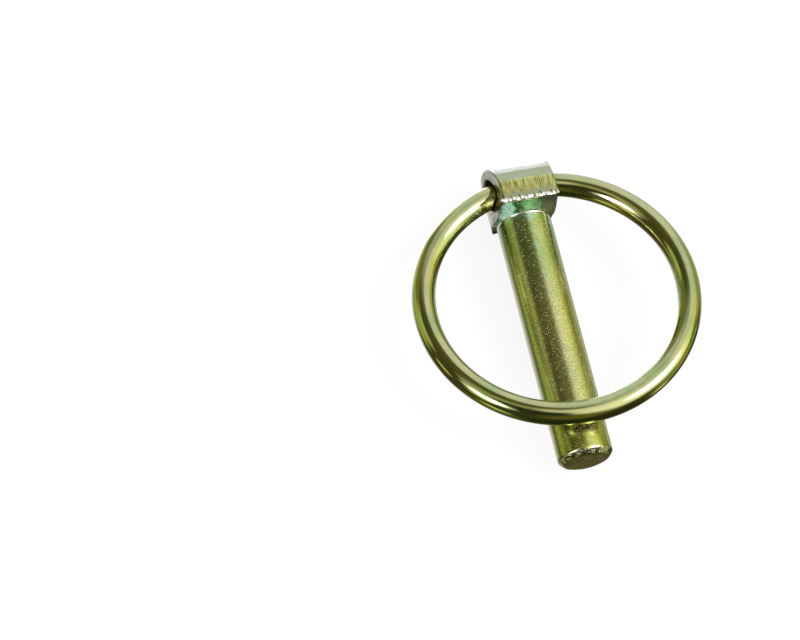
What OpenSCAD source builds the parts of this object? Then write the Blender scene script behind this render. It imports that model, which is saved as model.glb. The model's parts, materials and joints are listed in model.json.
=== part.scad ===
// Lynch pin: a headed steel pin with a wire spring ring threaded through its head.
// It lies on its back, ring uppermost and closed: X runs along the cross bore,
// Y along the shank with the head towards +Y, and Z is up.

/* [Shank] */
// Diameter of the shank
shank_d = 11.1; // [8:0.1:14]
// Length from the crease under the head to the end face
shank_l = 52; // [46:0.5:80]
// Chamfer at the tip, the same along and across
tip_chamfer = 1.1; // [0.4:0.1:2]

/* [Head] */
// Width of the head at its trimmed faces, along the bore
head_w = 11.6; // [10:0.1:16]
// How far the left side face bulges past that width at its middle
left_bulge = 0.8; // [0.2:0.1:1.5]
// How far the right side face bulges, less than the left because the die filled less there
right_bulge = 0.25; // [0.1:0.05:1.5]
// Depth of the head between its two trimmed faces
head_depth = 15.6; // [14:0.1:17]
// Height of the ridge above the bore axis
ridge_h = 5.2; // [5:0.1:8]
// Radius that rounds the ridge
ridge_r = 7.5; // [6:0.1:8]
// Slope of the flanks that fall from the ridge, from horizontal
flank_angle = 57; // [45:1:58]
// Depth of the head's underside below the bore axis
underside_h = 5.1; // [4.5:0.1:7]
// How far the forging sits off the shank's centre line, along the bore
head_offset = 1.15; // [0:0.05:1.5]

/* [Flash lip] */
// Height of the flash left along the foot of each trimmed face
lip_h = 0.8; // [0.4:0.1:1.5]
// How far the flash stands proud of the trimmed face
lip_proud = 0.3; // [0.1:0.05:0.6]
// How far the flash hangs below the underside
lip_hang = 0.3; // [0.1:0.05:0.6]

/* [Neck] */
// Height of the dished neck between the shank and the underside
neck_h = 1.9; // [1:0.1:3]
// Radius of the dish
neck_r = 3.5; // [3.1:0.1:6]
// Step left at the crease, where the heading die closed on the shank
die_step = 0.15; // [0.05:0.05:0.3]
// How far the neck sits off the shank's centre line, the same way as the head
neck_offset = 0.6; // [0:0.05:0.8]

/* [Bore] */
// Diameter of the cross bore that carries the ring
bore_d = 6.2; // [6.1:0.1:7]

/* [Ring] */
// Diameter of the spring wire
wire_d = 4.75; // [3:0.05:4.9]
// Inside diameter of the ring
ring_inner_d = 48; // [47:0.5:54]
// Gap between the two wire ends inside the head
wire_gap = 2; // [1:0.1:4]
// How far the ring has slid along the bore from the head's middle
ring_slide = 0.7; // [0:0.05:0.9]
// How far the ring has twisted in the bore's play
ring_twist = 2; // [0:0.5:2.5]
// Space between the closed ring and the shank it crosses
shank_gap = 0.65; // [0.6:0.05:0.9]

/* [Hidden] */
$fn = 96;
steel_colour = [0.66, 0.62, 0.30];
ring_colour = [0.72, 0.67, 0.32];

shank_r = shank_d / 2;
wire_r = wire_d / 2;
neck_y = -underside_h - neck_h;
tip_y = neck_y - shank_l;

// Profile of the head, seen along the bore
half_depth = head_depth / 2;
ridge_centre = ridge_h - ridge_r;
flank_z = ridge_r * sin(flank_angle);
flank_y = ridge_centre + ridge_r * cos(flank_angle);
trim_top = flank_y - (half_depth - flank_z) * tan(flank_angle);

// Outline of the head, seen from above: each side face is an arc through three points
half_w = head_w / 2;
left_r = bulge_radius(left_bulge);
right_r = bulge_radius(right_bulge);
left_half = half_w + left_bulge;
right_half = half_w + right_bulge;

// The dish ends level with the underside, where its arc runs flat
dish_y = -underside_h - neck_r;
dish_x = shank_r - die_step + sqrt(neck_r * neck_r - (neck_r - neck_h) * (neck_r - neck_h));

// The ring's arc crosses the bore's axis, as far above it at its top as below it at the mouth
ring_r = (ring_inner_d + wire_d) / 2;
mouth_reach = left_half + ring_slide;
mouth_sag = ring_r - sqrt(ring_r * ring_r - mouth_reach * mouth_reach);
ring_centre = ring_r - mouth_sag / 2;
ring_reach = ring_centre + ring_r;
closed_angle = asin((shank_r + wire_r + shank_gap) / ring_reach);
ring_x = head_offset + ring_slide;
middle_x = ring_x - ring_centre * sin(closed_angle) * sin(ring_twist);
end_left = asin((wire_gap / 2 + ring_slide) / ring_r);
end_right = asin((wire_gap / 2 - ring_slide) / ring_r);

// At rest the pin leans on the flash of its back face and on the shank's lower end
lip_z = half_depth + lip_proud;
lip_root = half_depth - lip_proud;
lip_y = -underside_h - lip_hang;
rest_y = tip_y + tip_chamfer;
lean = atan((lip_z - shank_r) / (lip_y - rest_y));
bore_height = lip_z * cos(lean) - lip_y * sin(lean);
high_y = ridge_centre * cos(lean) + ridge_r;
low_y = tip_y * cos(lean) - (shank_r - tip_chamfer) * sin(lean);

// Turns a shape built up the Z axis so that it points along the shank's Y axis
module along_shank() {
    rotate([-90, 0, 0]) children();
}

// Turns a shape drawn in the side view so that it runs along the bore
module along_bore(length) {
    rotate([90, 0, 90]) translate([0, 0, -length / 2]) linear_extrude(length) children();
}

// Sets the pin down on its back, with the middle of its box at the origin
module laid_down() {
    translate([-middle_x, -(high_y + low_y) / 2, bore_height]) rotate([lean, 0, 0]) children();
}

// Turned shank with its chamfered end
module shank() {
    along_shank() rotate_extrude()
        polygon([
            [0, tip_y], [shank_r - tip_chamfer, tip_y], [shank_r, rest_y],
            [shank_r, neck_y], [0, neck_y]
        ]);
}

// Dished neck that flares from the shank to the underside
module neck() {
    along_shank() rotate_extrude() difference() {
        translate([0, neck_y]) square([dish_x, neck_h + lip_h]);
        translate([dish_x, dish_y]) circle(neck_r);
    }
}

// Half of the head's side view, from the underside out round the flash lip to the ridge
function half_profile(side) = [
    [-underside_h, side * lip_root], [lip_y, side * lip_root], [lip_y, side * lip_z],
    [lip_y + lip_h, side * lip_z], [lip_y + lip_h, side * half_depth],
    [trim_top, side * half_depth], [flank_y, side * flank_z]
];

// The same points from the last to the first
function reversed(points) = [for (i = [len(points) - 1:-1:0]) points[i]];

// Radius of a side face that bulges by this much between the trimmed faces
function bulge_radius(bulge) = (half_depth * half_depth + bulge * bulge) / (2 * bulge);

// Side view of the head: flash lips, trimmed faces, sloping flanks and a rounded ridge
module head_profile() {
    polygon(concat(half_profile(-1), reversed(half_profile(1))));
    translate([ridge_centre, 0]) circle(ridge_r);
}

// Top view of the head: two bulging side faces, run out past the trimmed ones
module head_outline() {
    intersection() {
        translate([right_half - right_r, 0]) circle(right_r, $fn = 360);
        translate([left_r - left_half, 0]) circle(left_r, $fn = 360);
        square([4 * left_half, 4 * half_depth], center = true);
    }
}

// Head and neck, forged on the shank and trimmed to the outline
module head() {
    translate([head_offset, 0, 0]) intersection() {
        union() {
            along_bore(3 * left_half) head_profile();
            intersection() {
                translate([neck_offset - head_offset, 0, 0]) neck();
                cube([4 * left_half, 4 * neck_r - 4 * neck_y, 2 * lip_root], center = true);
            }
        }
        translate([0, neck_y, 0]) along_shank() linear_extrude(2 * ridge_h - neck_y) head_outline();
    }
}

// One solid: shank, neck and head with the cross bore through its side faces
module pin() {
    color(steel_colour) laid_down() difference() {
        union() {
            shank();
            head();
        }
        translate([head_offset, 0, 0]) rotate([0, 90, 0])
            cylinder(h = 3 * left_half, d = bore_d, center = true);
    }
}

// Spring wire bent to a ring, its two ends facing each other inside the head
module ring() {
    color(ring_colour) laid_down()
        translate([ring_x, 0, 0]) rotate([-closed_angle, -ring_twist, 0])
            translate([0, -ring_centre, 0]) rotate([0, 0, 90 + end_left])
                rotate_extrude(angle = 360 - end_left - end_right)
                    translate([ring_r, 0]) circle(wire_r);
}

pin();
ring();
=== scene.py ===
"""Lynch pin: a yellow-plated steel pin and its sprung wire ring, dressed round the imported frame."""

import json
import math

import bpy
import numpy as np
from mathutils import Matrix, Vector


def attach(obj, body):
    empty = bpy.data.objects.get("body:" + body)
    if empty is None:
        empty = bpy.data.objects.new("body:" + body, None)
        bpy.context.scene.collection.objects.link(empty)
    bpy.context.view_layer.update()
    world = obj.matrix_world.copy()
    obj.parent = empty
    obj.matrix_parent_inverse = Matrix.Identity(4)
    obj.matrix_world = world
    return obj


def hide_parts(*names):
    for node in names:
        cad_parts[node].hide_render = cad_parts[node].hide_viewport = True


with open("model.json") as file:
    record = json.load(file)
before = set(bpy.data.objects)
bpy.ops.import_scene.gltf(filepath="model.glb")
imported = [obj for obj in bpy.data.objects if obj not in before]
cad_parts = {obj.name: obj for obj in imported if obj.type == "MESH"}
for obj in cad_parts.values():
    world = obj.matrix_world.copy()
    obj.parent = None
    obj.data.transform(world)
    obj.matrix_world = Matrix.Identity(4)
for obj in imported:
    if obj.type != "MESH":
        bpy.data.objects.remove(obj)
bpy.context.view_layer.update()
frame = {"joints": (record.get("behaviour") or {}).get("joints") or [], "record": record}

# Driving dimensions, in millimetres, the same as the solid model's. The pin's own frame has its
# origin where the bore's axis crosses the shank's, X along the bore, Y to the head and Z up.
MM = 0.001
TIP_CHAMFER = 1.1
HEAD_HALF_W = 5.8
LEFT_BULGE = 0.8
RIGHT_BULGE = 0.25
HALF_DEPTH = 7.8
RIDGE_H = 5.2
RIDGE_R = 7.5
FLANK = math.radians(57)
UNDERSIDE = 5.1
HEAD_OFFSET = 1.15
LIP_H = 0.8
LIP_PROUD = 0.3
LIP_HANG = 0.3
NECK_H = 1.9
NECK_R = 3.5
DIE_STEP = 0.15
NECK_OFFSET = 0.6
BORE_R = 3.1
SHANK_L = 52
WIRE_R = 2.375
RING_BORE_R = 24
WIRE_GAP = 2
RING_SLIDE = 0.7
RING_TWIST = math.radians(2)
SHANK_GAP = 0.65

mount = frame["record"]["mounts"][0]
hinge = frame["joints"][0]
SHANK_R = mount["dims"]["r_mm"]
LEAN = math.asin(-mount["axis"][2])
ORIGIN = Vector(hinge["pos_m"]) - Vector((HEAD_OFFSET * MM, 0, 0))
LAID_DOWN = Matrix.Translation(ORIGIN) @ Matrix.Rotation(LEAN, 4, "X") @ Matrix.Scale(MM, 4)

NECK_Y = -UNDERSIDE - NECK_H
TIP_Y = NECK_Y - SHANK_L
RIDGE_CENTRE = RIDGE_H - RIDGE_R
LEFT_HALF = HEAD_HALF_W + LEFT_BULGE
RIGHT_HALF = HEAD_HALF_W + RIGHT_BULGE
LEFT_R = (HALF_DEPTH**2 + LEFT_BULGE**2) / (2 * LEFT_BULGE)
RIGHT_R = (HALF_DEPTH**2 + RIGHT_BULGE**2) / (2 * RIGHT_BULGE)
DISH_Y = -UNDERSIDE - NECK_R
DISH_X = SHANK_R - DIE_STEP + math.sqrt(NECK_R**2 - (NECK_R - NECK_H) ** 2)
LIP_ROOT = HALF_DEPTH - LIP_PROUD

# Small forms that the solid model leaves out, in millimetres
SHOULDER = 0.5
CREASE = 0.14
CREASE_W = 0.3
# The ridge sinks to the right, and the left side face swells in its back half
RIDGE_SINK = 0.4
BACK_SWELL = 0.45
SWELL_FROM = 2
SWELL_TO = -3
# The left side face is dented in front of the bore's mouth: depth, reach and place
DENT = 0.9
DENT_REACH = 3.1
DENT_Y = -1.2
DENT_Z = 3.1
# Beads of torn flash along the near lip: least and most radius, step, and how far they stray
BEAD_R = (0.36, 0.52)
BEAD_STEP = (0.6, 0.95)
BEAD_RISE = 0.25
BEAD_LIFT = (-0.15, 0.3)
BEAD_OUT = (-0.2, 0.0)
# Lines scored across the trimmed faces, the lower edge of the part that has them, and how far
# they take to fade out there
SCORE_DEPTH = 0.03
SCORE_FADE = 0.3
SCORED_Y = -3.4
# Uneven sheared end: how far it stands back, and the height of its waves
END_BACK = 0.05
END_WAVE = 0.04

# How far edges are worn round, and how wide fillets are
TIP_WEAR = 0.25
END_WEAR = 0.2
HEAD_WEAR = 0.4
SHEAR_WEAR = 0.5
RIGHT_WEAR = 0.9
LIP_WEAR = 0.15
LIP_TOP_WEAR = 0.18
NECK_RIGHT_WEAR = 0.6
MOUTH_WEAR = 0.35
BEAD_FILLET = 0.25
LIP_FILLET = 0.12
NECK_FILLET = 0.2
SHANK_FILLET = 0.1

# Places in the pin's list of finishes
SHANK, SKIN, TRIMMED, FLASH_AND_HIGHLIGHT, END, BORE, NECK, SIDE, CHAMFER, CROWN = range(10)

# Cells of the grid that the pin's surface is found on, in millimetres
FINE = 0.15
COARSE = 0.6
# The ring's mesh: sections along the wire, sides round it, and how far its ends are worn round
WIRE_SECTIONS = 720
WIRE_SIDES = 64
WIRE_END_WEAR = 0.35

# The photograph's viewpoint, in metres and degrees, and its lens on a 36 mm wide frame
CAMERA_PLACE = (-0.131812, -0.234437, 0.569066)
CAMERA_TURN = (24.382, -4.411, -13.283)
CAMERA_LENS = 140.566
CAMERA_FRAME = 36

rng = np.random.default_rng(11)


# Fields: negative inside the metal, and about the distance to its surface near it

def smooth_min(a, b, reach):
    """Union of two fields with a fillet about as wide as reach."""
    mix = np.clip(0.5 + 0.5 * (b - a) / reach, 0, 1)
    return b + (a - b) * mix - reach * mix * (1 - mix)


def smooth_max(a, b, reach):
    """Intersection of two fields with an edge worn about as wide as reach."""
    return -smooth_min(-a, -b, reach)


def wander(step, low, high):
    """A seeded curve along the bore, and past both sides of the head, that drifts every step."""
    knots = np.arange(-9, 11, step)
    values = rng.uniform(low, high, len(knots))
    return lambda x: np.interp(x, knots, values)


# How the flash runs along the near face, 1, and the far face, -1: its top, its outer side and
# its foot as shares of the lip, and the lines scored above it
burr_top = {1: wander(0.45, 0.55, 1.0), -1: wander(0.7, 0.6, 1.0)}
burr_out = {1: wander(0.4, 0.3, 1.0), -1: wander(0.6, 0.5, 1.0)}
burr_low = {1: wander(0.8, 0.2, 1.0), -1: wander(0.8, 0.3, 1.0)}
shear_lines = {1: wander(0.35, 0.0, 1.0), -1: wander(0.35, 0.0, 1.0)}


def bead_row():
    """Centres and radii of the beads that the trimming tool tore along the near lip."""
    beads = []
    past = 0.1
    x = HEAD_OFFSET - HEAD_HALF_W - past
    while x < HEAD_OFFSET + HEAD_HALF_W + past:
        lift, out = rng.uniform(*BEAD_LIFT), rng.uniform(*BEAD_OUT)
        place = (x, -UNDERSIDE + BEAD_RISE + lift, HALF_DEPTH + out)
        beads.append((place, rng.uniform(*BEAD_R)))
        x += rng.uniform(*BEAD_STEP)
    return beads


BEADS = bead_row()


def bead_field(x, y, z):
    """The row of beads along the near lip."""
    far = 9.0
    field = np.full(np.shape(x + y + z), far)
    for (bx, by, bz), radius in BEADS:
        field = np.minimum(field, np.sqrt((x - bx) ** 2 + (y - by) ** 2 + (z - bz) ** 2) - radius)
    return field


def shank_field(x, y, z):
    """Round shank with a chamfered, slightly uneven sheared end."""
    side = np.hypot(x, z) - SHANK_R
    end = TIP_Y - y + END_BACK + END_WAVE * np.sin(0.9 * x + 0.5) * np.cos(0.7 * z)
    chamfer = (side + end + TIP_CHAMFER) / math.sqrt(2)
    body = smooth_max(side, chamfer, TIP_WEAR)
    body = smooth_max(body, end, END_WEAR)
    return smooth_max(body, y - NECK_Y, SHOULDER)


def side_fields(x, y, z):
    """The head's left and right side faces, bulging, the left one dented by the bore's mouth."""
    left = np.hypot(x - HEAD_OFFSET + LEFT_HALF - LEFT_R, z) - LEFT_R
    right = np.hypot(x - HEAD_OFFSET - RIGHT_HALF + RIGHT_R, z) - RIGHT_R
    back = np.clip((SWELL_FROM - z) / (SWELL_FROM - SWELL_TO), 0, 1)
    dent = DENT * np.exp(-((y - DENT_Y) ** 2 + (z - DENT_Z) ** 2) / DENT_REACH**2)
    return left - BACK_SWELL * back * back * (3 - 2 * back) + dent, right


def head_field(x, y, z):
    """Rounded ridge, flanks, trimmed faces and underside between the two side faces."""
    depth = np.abs(z)
    sink = RIDGE_SINK * (x - HEAD_OFFSET + LEFT_HALF) / (2 * LEFT_HALF)
    rise = y + sink - RIDGE_CENTRE
    past_ridge = depth * math.cos(FLANK) - rise * math.sin(FLANK) > 0
    flank = depth * math.sin(FLANK) + rise * math.cos(FLANK)
    crown = np.where(past_ridge, flank, np.hypot(depth, rise)) - RIDGE_R
    scored = np.clip((y - SCORED_Y) / SCORE_FADE, 0, 1)
    marks = np.where(z > 0, shear_lines[1](x), shear_lines[-1](x))
    trimmed = depth - HALF_DEPTH + SCORE_DEPTH * scored * marks
    left, right = side_fields(x, y, z)
    body = smooth_max(crown, trimmed, SHEAR_WEAR)
    body = smooth_max(body, -UNDERSIDE - y, HEAD_WEAR)
    body = smooth_max(body, left, HEAD_WEAR)
    return smooth_max(body, right, RIGHT_WEAR)


def lip_field(x, y, z):
    """Jagged flash left along the foot of each trimmed face."""
    near = z > 0
    top = -UNDERSIDE - LIP_HANG + LIP_H * np.where(near, burr_top[1](x), burr_top[-1](x))
    out = HALF_DEPTH + LIP_PROUD * np.where(near, burr_out[1](x), burr_out[-1](x))
    low = -UNDERSIDE - LIP_HANG * np.where(near, burr_low[1](x), burr_low[-1](x))
    depth = np.abs(z)
    left, right = side_fields(x, y, z)
    lip = smooth_max(y - top, depth - out, LIP_TOP_WEAR)
    lip = smooth_max(lip, low - y, LIP_WEAR)
    lip = np.maximum(lip, LIP_ROOT - depth)
    return smooth_max(lip, np.maximum(left, right), LIP_WEAR)


def neck_field(x, y, z):
    """Dished neck that flares from the shank to the underside."""
    radius = np.hypot(x - NECK_OFFSET, z)
    dish = NECK_R - np.hypot(radius - DISH_X, y - DISH_Y)
    dish = dish + CREASE * np.exp(-(((y - NECK_Y) / CREASE_W) ** 2))
    left, right = side_fields(x, y, z)
    body = np.maximum(dish, radius - DISH_X)
    body = np.maximum(body, np.abs(z) - LIP_ROOT)
    body = np.maximum(body, y + UNDERSIDE - LIP_H)
    body = smooth_max(body, NECK_Y - y, LIP_WEAR)
    body = smooth_max(body, left, HEAD_WEAR)
    return smooth_max(body, right, NECK_RIGHT_WEAR)


def pin_field(x, y, z):
    """The whole forging with its cross bore."""
    lip = smooth_min(lip_field(x, y, z), bead_field(x, y, z), BEAD_FILLET)
    head = smooth_min(head_field(x, y, z), lip, LIP_FILLET)
    head = smooth_min(head, neck_field(x, y, z), NECK_FILLET)
    whole = smooth_min(head, shank_field(x, y, z), SHANK_FILLET)
    return smooth_max(whole, BORE_R - np.hypot(y, z), MOUTH_WEAR)


# Meshes

def grid_axes():
    """Cell edges along X, Y and Z: fine round the head and the tip, coarse along the shank.

    They end a few cells outside the metal."""
    left = HEAD_OFFSET - LEFT_HALF - BACK_SWELL
    x = np.arange(left - 0.5, HEAD_OFFSET + RIGHT_HALF + 0.6, FINE)
    z = np.arange(-HALF_DEPTH - LIP_PROUD - 0.4, HALF_DEPTH + LIP_PROUD + 0.5, FINE)
    tip = np.arange(TIP_Y - 0.45, TIP_Y + 1.8, FINE)
    neck = np.arange(NECK_Y - 0.9, RIDGE_H + 0.5, FINE)
    plain = np.linspace(tip[-1], neck[0], int((neck[0] - tip[-1]) / COARSE))
    return x, np.concatenate([tip, plain[1:-1], neck]), z


def crossings(field, axes):
    """For each cell that the surface crosses: its index, and the mean of the crossings on its edges."""
    shape = [n - 1 for n in field.shape]
    total = np.zeros([*shape, 3])
    count = np.zeros(shape)
    for along in range(3):
        others = [a for a in range(3) if a != along]
        low = np.take(field, range(shape[along]), along)
        high = np.take(field, range(1, shape[along] + 1), along)
        cut = (low < 0) != (high < 0)
        share = np.where(cut, low / np.where(cut, low - high, 1), 0)
        point = np.zeros([*cut.shape, 3])
        for a in range(3):
            edges = axes[a][: cut.shape[a]]
            point[..., a] = edges.reshape([-1 if b == a else 1 for b in range(3)])
        step = np.diff(axes[along]).reshape([-1 if b == along else 1 for b in range(3)])
        point[..., along] += share * step
        for corner in np.ndindex(2, 2):
            window = [slice(None)] * 3
            for a, offset in zip(others, corner):
                window[a] = slice(offset, offset + shape[a])
            window = tuple(window)
            count += cut[window]
            total += point[window] * cut[window][..., None]
    crossed = count > 0
    index = np.full(shape, -1)
    index[crossed] = np.arange(crossed.sum())
    return index, total[crossed] / count[crossed][:, None]


def faces_between(field, index):
    """One quad round each grid edge that the surface cuts, facing out of the metal."""
    quads = []
    for along in range(3):
        one, two = (along + 1) % 3, (along + 2) % 3
        low = np.take(field, range(field.shape[along] - 1), along)
        high = np.take(field, range(1, field.shape[along]), along)
        cut = (low < 0) != (high < 0)
        at = np.argwhere(cut)
        inner = (at[:, one] > 0) & (at[:, two] > 0)
        inner &= (at[:, one] < index.shape[one]) & (at[:, two] < index.shape[two])
        at = at[inner]
        ring = []
        for back_one, back_two in ((1, 1), (0, 1), (0, 0), (1, 0)):
            cell = at.copy()
            cell[:, one] -= back_one
            cell[:, two] -= back_two
            ring.append(index[tuple(cell.T)])
        quad = np.stack(ring, 1)
        leaves = low[tuple(at.T)] < 0
        quads.append(np.where(leaves[:, None], quad, quad[:, ::-1]))
    return np.concatenate(quads)


def slope(points, reach=0.02):
    """Value and gradient of the pin's field at points."""
    gradient = np.zeros_like(points)
    for a in range(3):
        step = np.zeros(3)
        step[a] = reach
        ahead = pin_field(*(points + step).T)
        behind = pin_field(*(points - step).T)
        gradient[:, a] = (ahead - behind) / (2 * reach)
    return pin_field(*points.T), gradient


def settle(points, rounds=4, most=0.1):
    """Moves points onto the surface by Newton steps, each at most a given length."""
    for _ in range(rounds):
        value, gradient = slope(points)
        size = np.maximum((gradient**2).sum(1), 0.2)
        move = -(value / size)[:, None] * gradient
        length = np.linalg.norm(move, axis=1, keepdims=True)
        points = points + move * np.minimum(1, most / np.maximum(length, 1e-9))
    return points


def new_piece(name, points, faces, materials):
    """A smooth mesh object, laid down in the frame, from points in the pin's own frame."""
    mesh = bpy.data.meshes.new(name)
    mesh.from_pydata(points, [], faces)
    mesh.transform(LAID_DOWN)
    mesh.shade_smooth()
    for material in materials:
        mesh.materials.append(material)
    piece = bpy.data.objects.new(name, mesh)
    bpy.context.scene.collection.objects.link(piece)
    return piece


def zone_of(centres, normals):
    """Which finish of make_pin's list each face of the pin has, by its place and slope.

    A later line overrides an earlier one."""
    x, y, z = centres.T
    above = y > NECK_Y
    zone = np.where(above, SKIN, SHANK)
    # The top of the ridge gets the crown's paler colour, a painted highlight
    zone[y > RIDGE_CENTRE + RIDGE_R * math.cos(FLANK)] = CROWN
    steep = 0.8
    trimmed = (np.abs(z) > HALF_DEPTH - 0.25) & (np.abs(normals[:, 2]) > steep)
    zone[trimmed & (y > SCORED_Y)] = TRIMMED
    dish = above & (y < -UNDERSIDE) & (np.abs(z) < LIP_ROOT)
    zone[dish] = NECK
    zone[dish & (x < 0) & (z < -1.5)] = SIDE
    zone[above & (np.maximum(*side_fields(x, y, z)) > -0.1)] = SIDE
    # A near-white band along the neck's crease: a painted highlight line
    zone[(y > NECK_Y - 0.4) & (y < NECK_Y + 0.25) & (x < 4)] = FLASH_AND_HIGHLIGHT
    zone[above & (np.abs(z) > LIP_ROOT) & (y < -UNDERSIDE - LIP_HANG + LIP_H + 0.1)] = FLASH_AND_HIGHLIGHT
    zone[(y < TIP_Y + TIP_CHAMFER) & (normals[:, 1] < -0.35)] = CHAMFER
    # A near-white band along the chamfer's upper edge: a painted highlight line
    zone[np.abs(y - TIP_Y - TIP_CHAMFER) < 0.1] = FLASH_AND_HIGHLIGHT
    zone[(y < TIP_Y + 0.5) & (normals[:, 1] < -steep)] = BORE
    zone[(y < TIP_Y + 0.3) & (normals[:, 1] < -0.93)] = END
    zone[np.hypot(y, z) < BORE_R + 0.02] = BORE
    return zone


def make_pin(materials):
    """The forged pin, as one closed mesh."""
    axes = grid_axes()
    field = pin_field(*np.meshgrid(*axes, indexing="ij"))
    index, points = crossings(field, axes)
    faces = faces_between(field, index)
    points = settle(points)
    corners = points[faces]
    normals = np.cross(corners[:, 2] - corners[:, 0], corners[:, 3] - corners[:, 1])
    normals /= np.maximum(np.linalg.norm(normals, axis=1, keepdims=True), 1e-12)
    piece = new_piece("forged_pin", points, faces, materials)
    zones = zone_of(corners.mean(1), normals)
    piece.data.polygons.foreach_set("material_index", zones.astype(np.int32))
    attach(piece, "pin")
    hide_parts("pin")


def make_ring(material):
    """The sprung wire ring: a bent round wire whose two cut ends face each other inside the bore."""
    ring_r = RING_BORE_R + WIRE_R
    reach = LEFT_HALF + RING_SLIDE
    sag = ring_r - math.sqrt(ring_r**2 - reach**2)
    centre = ring_r - sag / 2
    closed = math.asin((SHANK_R + WIRE_R + SHANK_GAP) / (centre + ring_r))
    start = math.asin((WIRE_GAP / 2 + RING_SLIDE) / ring_r)
    stop = 2 * math.pi - math.asin((WIRE_GAP / 2 - RING_SLIDE) / ring_r)
    place = (
        Matrix.Translation((HEAD_OFFSET + RING_SLIDE, 0, 0))
        @ Matrix.Rotation(-RING_TWIST, 4, "Y")
        @ Matrix.Rotation(-closed, 4, "X")
        @ Matrix.Translation((0, -centre, 0))
    )
    turns = np.linspace(start, stop, WIRE_SECTIONS)
    end_reach = np.minimum(turns - start, stop - turns) * ring_r
    short = np.clip(1 - end_reach / WIRE_END_WEAR, 0, 1)
    radii = WIRE_R - WIRE_END_WEAR * (1 - np.sqrt(1 - short**2)) * 0.9
    around = np.linspace(0, 2 * math.pi, WIRE_SIDES, endpoint=False)
    out = ring_r + radii[:, None] * np.cos(around)
    angle = math.pi / 2 + turns[:, None]
    rings = np.stack(
        [out * np.cos(angle), out * np.sin(angle), radii[:, None] * np.sin(around)], 2
    )
    points = rings.reshape(-1, 3)
    i = np.arange(WIRE_SECTIONS - 1)[:, None] * WIRE_SIDES
    j = np.arange(WIRE_SIDES)[None]
    k = (j + 1) % WIRE_SIDES
    faces = np.stack([i + j, i + WIRE_SIDES + j, i + WIRE_SIDES + k, i + k], 2)
    faces = faces.reshape(-1, 4).tolist()
    last = (WIRE_SECTIONS - 1) * WIRE_SIDES
    faces.append(list(range(WIRE_SIDES)))
    faces.append([last + n for n in reversed(range(WIRE_SIDES))])
    matrix = np.array(place)
    points = points @ matrix[:3, :3].T + matrix[:3, 3]
    piece = new_piece("wire_ring", points, faces, [material])
    uv = piece.data.uv_layers.new(name="along_wire")
    vertex = np.zeros(len(piece.data.loops), np.int32)
    piece.data.loops.foreach_get("vertex_index", vertex)
    along = turns[vertex // WIRE_SIDES] * ring_r
    spots = np.stack([along, around[vertex % WIRE_SIDES] * WIRE_R], 1)
    uv.data.foreach_set("uv", spots.astype(np.float32).ravel())
    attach(piece, "ring")
    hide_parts("ring")


# Materials

def new_material(name):
    """An empty node material and its tree."""
    material = bpy.data.materials.new(name)
    material.use_nodes = True
    material.node_tree.nodes.clear()
    return material, material.node_tree


def add(tree, kind, **values):
    """A node with its named inputs set to values or linked to sockets."""
    node = tree.nodes.new("ShaderNode" + kind)
    for name, value in values.items():
        socket = node.inputs[name.replace("_", " ")]
        if isinstance(value, bpy.types.NodeSocket):
            tree.links.new(value, socket)
        else:
            socket.default_value = value
    return node


def noise(tree, coordinates, size_mm, detail=3.0, seed=0.0, stretch=(1, 1, 1)):
    """Noise whose features are about size_mm across, stretched along some axes."""
    moved = add(tree, "Mapping", Vector=coordinates, Location=(seed, seed, seed), Scale=stretch)
    return add(
        tree, "TexNoise", Vector=moved.outputs["Vector"],
        Scale=1 / (size_mm * MM), Detail=detail, Roughness=0.55,
    ).outputs["Fac"]


def ramp(tree, factor, stops):
    """Colour ramp through (place, colour) stops."""
    node = add(tree, "ValToRGB", Fac=factor)
    elements = node.color_ramp.elements
    while len(elements) < len(stops):
        elements.new(0.5)
    for element, (place, colour) in zip(elements, stops):
        element.position = place
        element.color = (*colour, 1)
    return node.outputs["Color"]


def spread(tree, value, low, high, to_low, to_high):
    """A value remapped from one range to another."""
    node = add(tree, "MapRange", Value=value)
    for name, number in zip(("From Min", "From Max", "To Min", "To Max"), (low, high, to_low, to_high)):
        node.inputs[name].default_value = number
    return node.outputs["Result"]


# Between these lie most values of the noises that make the drift and the specks
DRIFT_SPAN = (0.3, 0.7)
SPECK_SPAN = (0.35, 0.65)

# Colours that the plate's film drifts between, and that of frosty zinc crystals in it
OLIVE = (0.46, 0.48, 0.22)
YELLOW = (0.54, 0.52, 0.22)
GREEN = (0.36, 0.46, 0.18)
TEAL = (0.38, 0.46, 0.30)
# The crown's pale colour is a painted highlight, not a film colour
PAINTED_HIGHLIGHT_PALE = (0.70, 0.70, 0.56)
CRYSTAL = (0.74, 0.68, 0.34)


def flecks(tree, coordinates, step_mm, radius, share):
    """1 on small dots, one in each of a share of cells step_mm across, and 0 between them."""
    cells = add(tree, "TexVoronoi", Vector=coordinates, Scale=1 / (step_mm * MM))
    chance = add(tree, "SeparateColor", Color=cells.outputs["Color"]).outputs["Red"]
    size = spread(tree, chance, 1 - share, 1, 0, radius)
    inside = add(tree, "Math", Value=size)
    inside.operation = "GREATER_THAN"
    tree.links.new(cells.outputs["Distance"], inside.inputs[1])
    return inside.outputs[0]


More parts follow.
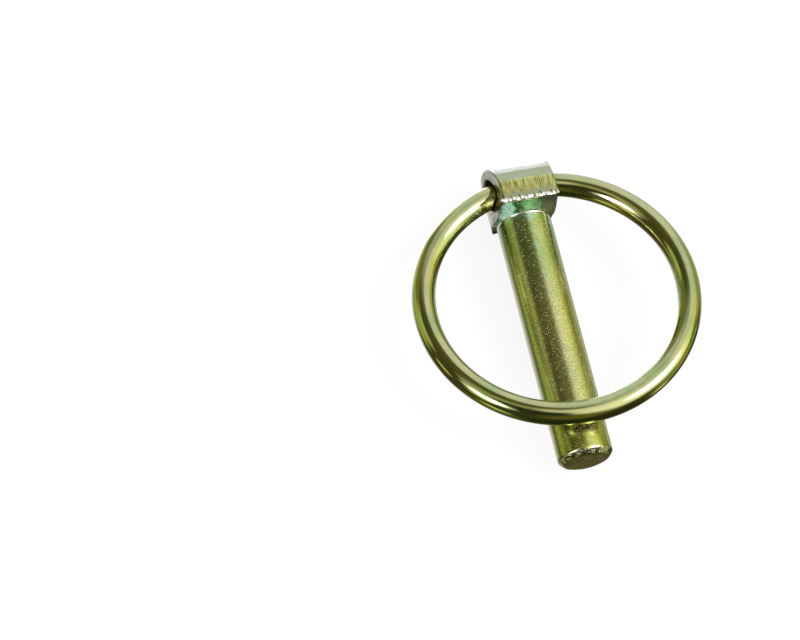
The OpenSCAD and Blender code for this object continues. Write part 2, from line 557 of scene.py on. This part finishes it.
def plated(
    name, film, roughness, grain, grain_mm, stretch=(1, 1, 1), film_mm=7.0, mottle=0.12, metallic=1.0,
    along=None, sway=0.05, streaks=None, sparkle=None,
):
    """Yellow-passivated zinc: a metal whose thin film drifts from one colour to the next.

    The drift is free, or runs along an axis between two places in millimetres and sways a little.
    Streaks, if any, are drawing marks along a wire: their depth and width in millimetres.
    Sparkle, if any, is a scatter of frosty crystals: their step, radius and share of the cells."""
    material, tree = new_material(name)
    at = add(tree, "TexCoord").outputs["Object"]
    drift = noise(tree, at, film_mm, detail=2, seed=0.13)
    if along:
        axis, first, last = along
        place = add(tree, "SeparateXYZ", Vector=at).outputs[axis]
        steady = spread(tree, place, first * MM, last * MM, 0, 1)
        loose = spread(tree, drift, *DRIFT_SPAN, -sway, sway)
        total = add(tree, "Math", Value=steady)
        tree.links.new(loose, total.inputs[1])
        drift = total.outputs[0]
    fine = noise(tree, at, grain_mm, detail=4, seed=0.31, stretch=stretch)
    specks = noise(tree, at, grain_mm * 1.7, detail=2, seed=0.57, stretch=stretch)
    colour = ramp(tree, drift, film)
    shade = spread(tree, specks, *SPECK_SPAN, 1 - mottle, 1 + mottle)
    tinted = add(tree, "VectorMath", Vector=colour)
    tinted.operation = "SCALE"
    tree.links.new(shade, tinted.inputs["Scale"])
    base = tinted.outputs["Vector"]
    if sparkle:
        crystals = flecks(tree, at, *sparkle)
        base = blend(tree, crystals, base, CRYSTAL)
        metallic = spread(tree, crystals, 0, 1, metallic, 0.5)
    rough = spread(tree, specks, *SPECK_SPAN, roughness * 0.85, roughness * 1.2)
    bump = add(tree, "Bump", Height=fine, Distance=grain * MM, Strength=1.0)
    if streaks:
        depth, width = streaks
        wire = add(tree, "TexCoord").outputs["UV"]
        marks = noise(tree, wire, width / MM, detail=3, stretch=(0.03, 1, 1))
        bump = add(
            tree, "Bump", Height=marks, Distance=depth * MM, Strength=1.0,
            Normal=bump.outputs["Normal"],
        )
    shader = add(
        tree, "BsdfPrincipled", Base_Color=base, Metallic=metallic,
        Roughness=rough, Normal=bump.outputs["Normal"],
    )
    output = add(tree, "OutputMaterial", Surface=shader.outputs["BSDF"])
    output.is_active_output = True
    return material


def shank_finish():
    """Satin, greener towards both ends."""
    film = [
        (0.02, (0.44, 0.46, 0.11)), (0.2, YELLOW), (0.4, OLIVE), (0.55, YELLOW), (0.75, OLIVE),
        (0.9, GREEN), (1.0, (0.42, 0.60, 0.42)),
    ]
    return plated(
        "shank_satin", film, 0.21, 0.006, 0.08, stretch=(1, 0.8, 1), mottle=0.35,
        along=("Y", -32, 20), sway=0.14, sparkle=(0.3, 0.42, 0.6),
    )


def skin_finish():
    """The flanks and the foot of the trimmed faces, as forged."""
    film = [
        (0.32, TEAL), (0.45, (0.40, 0.43, 0.22)), (0.58, (0.43, 0.43, 0.26)),
        (0.7, (0.46, 0.42, 0.33)),
    ]
    return plated("forged_skin", film, 0.2, 0.006, 0.1, film_mm=3, mottle=0.05)


def crown_finish():
    """The ridge, painted paler as a highlight along its top."""
    film = [(0.35, PAINTED_HIGHLIGHT_PALE), (0.5, (0.76, 0.76, 0.58)), (0.65, (0.66, 0.62, 0.50))]
    return plated("forged_crown_painted_highlight", film, 0.2, 0.006, 0.1, film_mm=2, mottle=0.05)


def trimmed_finish():
    """Trimmed faces, scored by the tool."""
    film = [(0.35, (0.46, 0.45, 0.15)), (0.65, (0.54, 0.52, 0.19))]
    return plated("trimmed_face", film, 0.25, 0.02, 0.08, (1, 0.05, 0.1), film_mm=3, mottle=0.55)


def flash_and_highlight_finish():
    """Torn flash, nearly bare, and near-white lines painted as highlights along the neck's crease and
    the chamfer's upper edge.
    """
    film = [(0.35, (0.98, 0.98, 0.9)), (0.65, (0.85, 0.82, 0.66))]
    return plated("torn_flash_and_painted_highlight", film, 0.2, 0.03, 0.3, film_mm=1.5)


def end_finish():
    """The rough sheared end."""
    film = [(0.35, (0.56, 0.46, 0.2)), (0.5, (0.66, 0.56, 0.28)), (0.65, (0.46, 0.42, 0.16))]
    return plated("sheared_end", film, 0.4, 0.04, 0.35, film_mm=3, mottle=0.2)


def chamfer_finish():
    """The rolled chamfer, glossy, with dark flecks and with cream flecks painted as glints."""
    # The cream stop paints glints; the dark stop is the chamfer's own film
    film = [(0.46, (0.90, 0.94, 0.66)), (0.52, (0.16, 0.18, 0.08))]
    return plated("chamfer_gloss", film, 0.05, 0.25, 0.5, film_mm=1.0)


def bore_finish():
    """The bore's wall and the end's rim, brown where the film is thick."""
    film = [(0.4, (0.34, 0.22, 0.06)), (0.6, (0.48, 0.33, 0.10))]
    return plated("drilled_bore", film, 0.4, 0.02, 0.2)


def neck_finish():
    """Green to teal bloom that the plating bath left in the dish, with light painted into it along X: a
    painted highlight spot, painted dark reflection bands, and painted shade that darkens it to the
    right.
    """
    film = [
        # Along X, the near-white stop is a painted highlight, the near-black stops are painted dark
        # reflections, and the last stops are painted shade at the right foot
        (0.06, (0.10, 0.26, 0.10)), (0.22, (0.70, 1.0, 0.86)), (0.33, (0.34, 0.80, 0.48)),
        (0.42, (0.03, 0.07, 0.01)), (0.56, (0.20, 0.46, 0.18)), (0.70, (0.32, 0.66, 0.26)),
        (0.90, (0.07, 0.16, 0.04)), (1.0, (0.13, 0.14, 0.08)),
    ]
    return plated(
        "neck_bloom_and_painted_light", film, 0.26, 0.006, 0.08, film_mm=1.2, mottle=0.16, metallic=0.25,
        along=("X", -7.7, 2.3), sway=0.08,
    )


def side_finish():
    """The head's side faces, greyer."""
    film = [(0.35, (0.31, 0.35, 0.19)), (0.5, (0.37, 0.39, 0.22)), (0.65, (0.38, 0.36, 0.21))]
    return plated("side_face", film, 0.22, 0.02, 0.1, film_mm=2.5, mottle=0.08)


def wire_finish():
    """The ring's bright drawn wire."""
    film = [(0.32, GREEN), (0.45, OLIVE), (0.58, YELLOW), (0.7, (0.55, 0.51, 0.27))]
    return plated(
        "drawn_wire", film, 0.09, 0.0004, 0.2, film_mm=7, mottle=0.04, streaks=(0.02, 0.35)
    )


# Studio

def patch(tree, direction, azimuth, polar, inner, outer):
    """1 within inner degrees of a direction of the sky, falling to 0 at outer."""
    a, p = math.radians(azimuth), math.radians(polar)
    toward = add(tree, "VectorMath")
    toward.operation = "DOT_PRODUCT"
    tree.links.new(direction, toward.inputs[0])
    toward.inputs[1].default_value = (
        math.sin(p) * math.cos(a), math.sin(p) * math.sin(a), math.cos(p),
    )
    node = add(tree, "MapRange", Value=toward.outputs["Value"])
    node.interpolation_type = "SMOOTHSTEP"
    node.inputs["From Min"].default_value = math.cos(math.radians(outer))
    node.inputs["From Max"].default_value = math.cos(math.radians(inner))
    return node.outputs["Result"]


def blend(tree, factor, under, over):
    """One colour laid over another by a factor."""
    node = tree.nodes.new("ShaderNodeMix")
    node.data_type = "RGBA"
    # The Mix node's sockets for its factor and for its two colours
    for place, value in ((0, factor), (6, under), (7, over)):
        if isinstance(value, bpy.types.NodeSocket):
            tree.links.new(value, node.inputs[place])
        else:
            node.inputs[place].default_value = value if place == 0 else (*value, 1)
    return node.outputs[2]


# The unlit room behind it all
DIM_ROOM = (0.075, 0.072, 0.03)

# What the studio holds in each direction, laid one over the other: colour, azimuth, polar angle,
# and the angles from its middle where it starts to fade and where it ends
STUDIO = {
    "front_pit": ((0.03, 0.035, 0.015), 276, 118, 16, 42),
    "front_gold": ((0.24, 0.19, 0.03), 220, 134, 8, 20),
    "front_dim": ((0.20, 0.17, 0.03), 272, 60, 10, 30),
    "nadir": ((0.16, 0.15, 0.07), 300, 172, 8, 24),
    "back_high": ((1.0, 1.02, 1.0), 36, 36, 14, 28),
    "back_screen": ((0.92, 1.0, 1.15), 64, 78, 26, 56),
    "ceiling": ((1.0, 1.0, 1.0), 300, 15, 14, 34),
    "ceiling_far": ((0.5, 0.5, 0.3), 165, 18, 6, 20),
    "flag_high": ((0.15, 0.14, 0.05), 105, 24, 10, 20),
    "flag_left": ((0.10, 0.10, 0.04), 138, 40, 10, 20),
    "right_mid": ((0.50, 0.50, 0.20), 22, 88, 12, 26),
    "right_gap": ((0.15, 0.14, 0.04), 356, 100, 8, 20),
    "right_low": ((0.62, 0.70, 0.60), 28, 126, 6, 20),
    "right_edge": ((0.45, 0.42, 0.12), 336, 102, 10, 24),
    "back_left": ((0.25, 0.27, 0.07), 120, 74, 10, 26),
    "back_left_low": ((0.60, 0.66, 0.36), 122, 106, 6, 20),
    "left_high": ((0.62, 0.66, 0.5), 192, 40, 6, 16),
    "left_card": ((0.68, 0.70, 0.32), 151, 70, 7, 16),
    "left_card_low": ((0.50, 0.64, 0.17), 150, 99, 10, 23),
    "left_flag": ((0.10, 0.10, 0.04), 173, 73, 5, 12),
    "left_gold": ((1.0, 1.05, 0.4), 182, 94, 3, 9),
    "front_flag": ((0.04, 0.05, 0.02), 234, 35, 15, 26),
    "front_card": ((1.1, 1.2, 0.5), 222, 115, 4, 12),
    "low_screen": ((0.95, 0.92, 1.1), 105, 142, 12, 42),
    "low_card": ((2.1, 2.0, 3.0), 95, 110, 10, 19),
    "low_card_far": ((1.8, 1.75, 2.4), 94, 130, 14, 25),
    "right_glow": ((1.0, 1.0, 0.42), 13, 55, 8, 20),
    "right_low_glow": ((1.4, 1.45, 0.55), 344, 60, 12, 25),
    "right_line": ((0.62, 0.66, 0.28), 357, 100, 3, 8),
    "right_spark": ((1.3, 1.4, 0.8), 327, 121, 2, 7),
    "second_low": ((0.66, 0.70, 0.22), 208, 82, 5, 12),
    "main_glow": ((1.5, 1.5, 1.5), -30, 41, 18, 40),
    "main_lamp": ((8.0, 8.0, 9.0), -18, 40, 11, 17),
    "second_glow": ((1.4, 1.5, 1.6), 208, 60, 11, 20),
    "second_lamp": ((8.0, 8.0, 10.0), 208, 59, 7, 13),
}


def make_world():
    """A studio of broad pale screens, dark flags between them and two bright lamps."""
    world = bpy.data.worlds.new("studio")
    bpy.context.scene.world = world
    world.use_nodes = True
    tree = world.node_tree
    tree.nodes.clear()
    way = add(tree, "TexCoord").outputs["Generated"]
    sky = DIM_ROOM
    for colour, *where in STUDIO.values():
        sky = blend(tree, patch(tree, way, *where), sky, colour)
    seen = add(tree, "LightPath").outputs["Is Camera Ray"]
    colour = blend(tree, seen, sky, (1, 1, 1))
    background = add(tree, "Background", Color=colour, Strength=1.0)
    add(tree, "OutputWorld", Surface=background.outputs["Background"])


def floor_finish():
    """Pale floor: white to the camera, with the object's soft shadow kept."""
    material, tree = new_material("pale_floor")
    matt = add(tree, "BsdfDiffuse", Color=(0.12, 0.12, 0.12, 1))
    seen = add(tree, "Math", Value=add(tree, "LightPath").outputs["Is Camera Ray"])
    seen.operation = "MULTIPLY"
    seen.inputs[1].default_value = 0.9
    glow = add(tree, "Emission", Color=(1, 1, 1, 1), Strength=seen.outputs[0])
    both = add(tree, "AddShader")
    tree.links.new(matt.outputs[0], both.inputs[0])
    tree.links.new(glow.outputs[0], both.inputs[1])
    add(tree, "OutputMaterial", Surface=both.outputs[0])
    return material


def make_floor(size=3.0):
    """Flat floor that the part lies on."""
    half = size / 2
    mesh = bpy.data.meshes.new("floor")
    corners = [(-half, -half, 0), (half, -half, 0), (half, half, 0), (-half, half, 0)]
    mesh.from_pydata(corners, [], [(0, 1, 2, 3)])
    mesh.materials.append(floor_finish())
    floor = bpy.data.objects.new("floor", mesh)
    floor.visible_glossy = False
    bpy.context.scene.collection.objects.link(floor)


def make_camera():
    """The photograph's viewpoint, worked out for its 800 by 640 frame."""
    data = bpy.data.cameras.new("camera")
    data.sensor_width = CAMERA_FRAME
    data.lens = CAMERA_LENS
    camera = bpy.data.objects.new("camera", data)
    camera.location = CAMERA_PLACE
    camera.rotation_euler = [math.radians(a) for a in CAMERA_TURN]
    bpy.context.scene.collection.objects.link(camera)
    bpy.context.scene.camera = camera


make_camera()
make_world()
make_floor()
make_pin([
    shank_finish(), skin_finish(), trimmed_finish(), flash_and_highlight_finish(), end_finish(), bore_finish(),
    neck_finish(), side_finish(), chamfer_finish(), crown_finish(),
])
make_ring(wire_finish())
bpy.context.scene.view_settings.view_transform = "Standard"
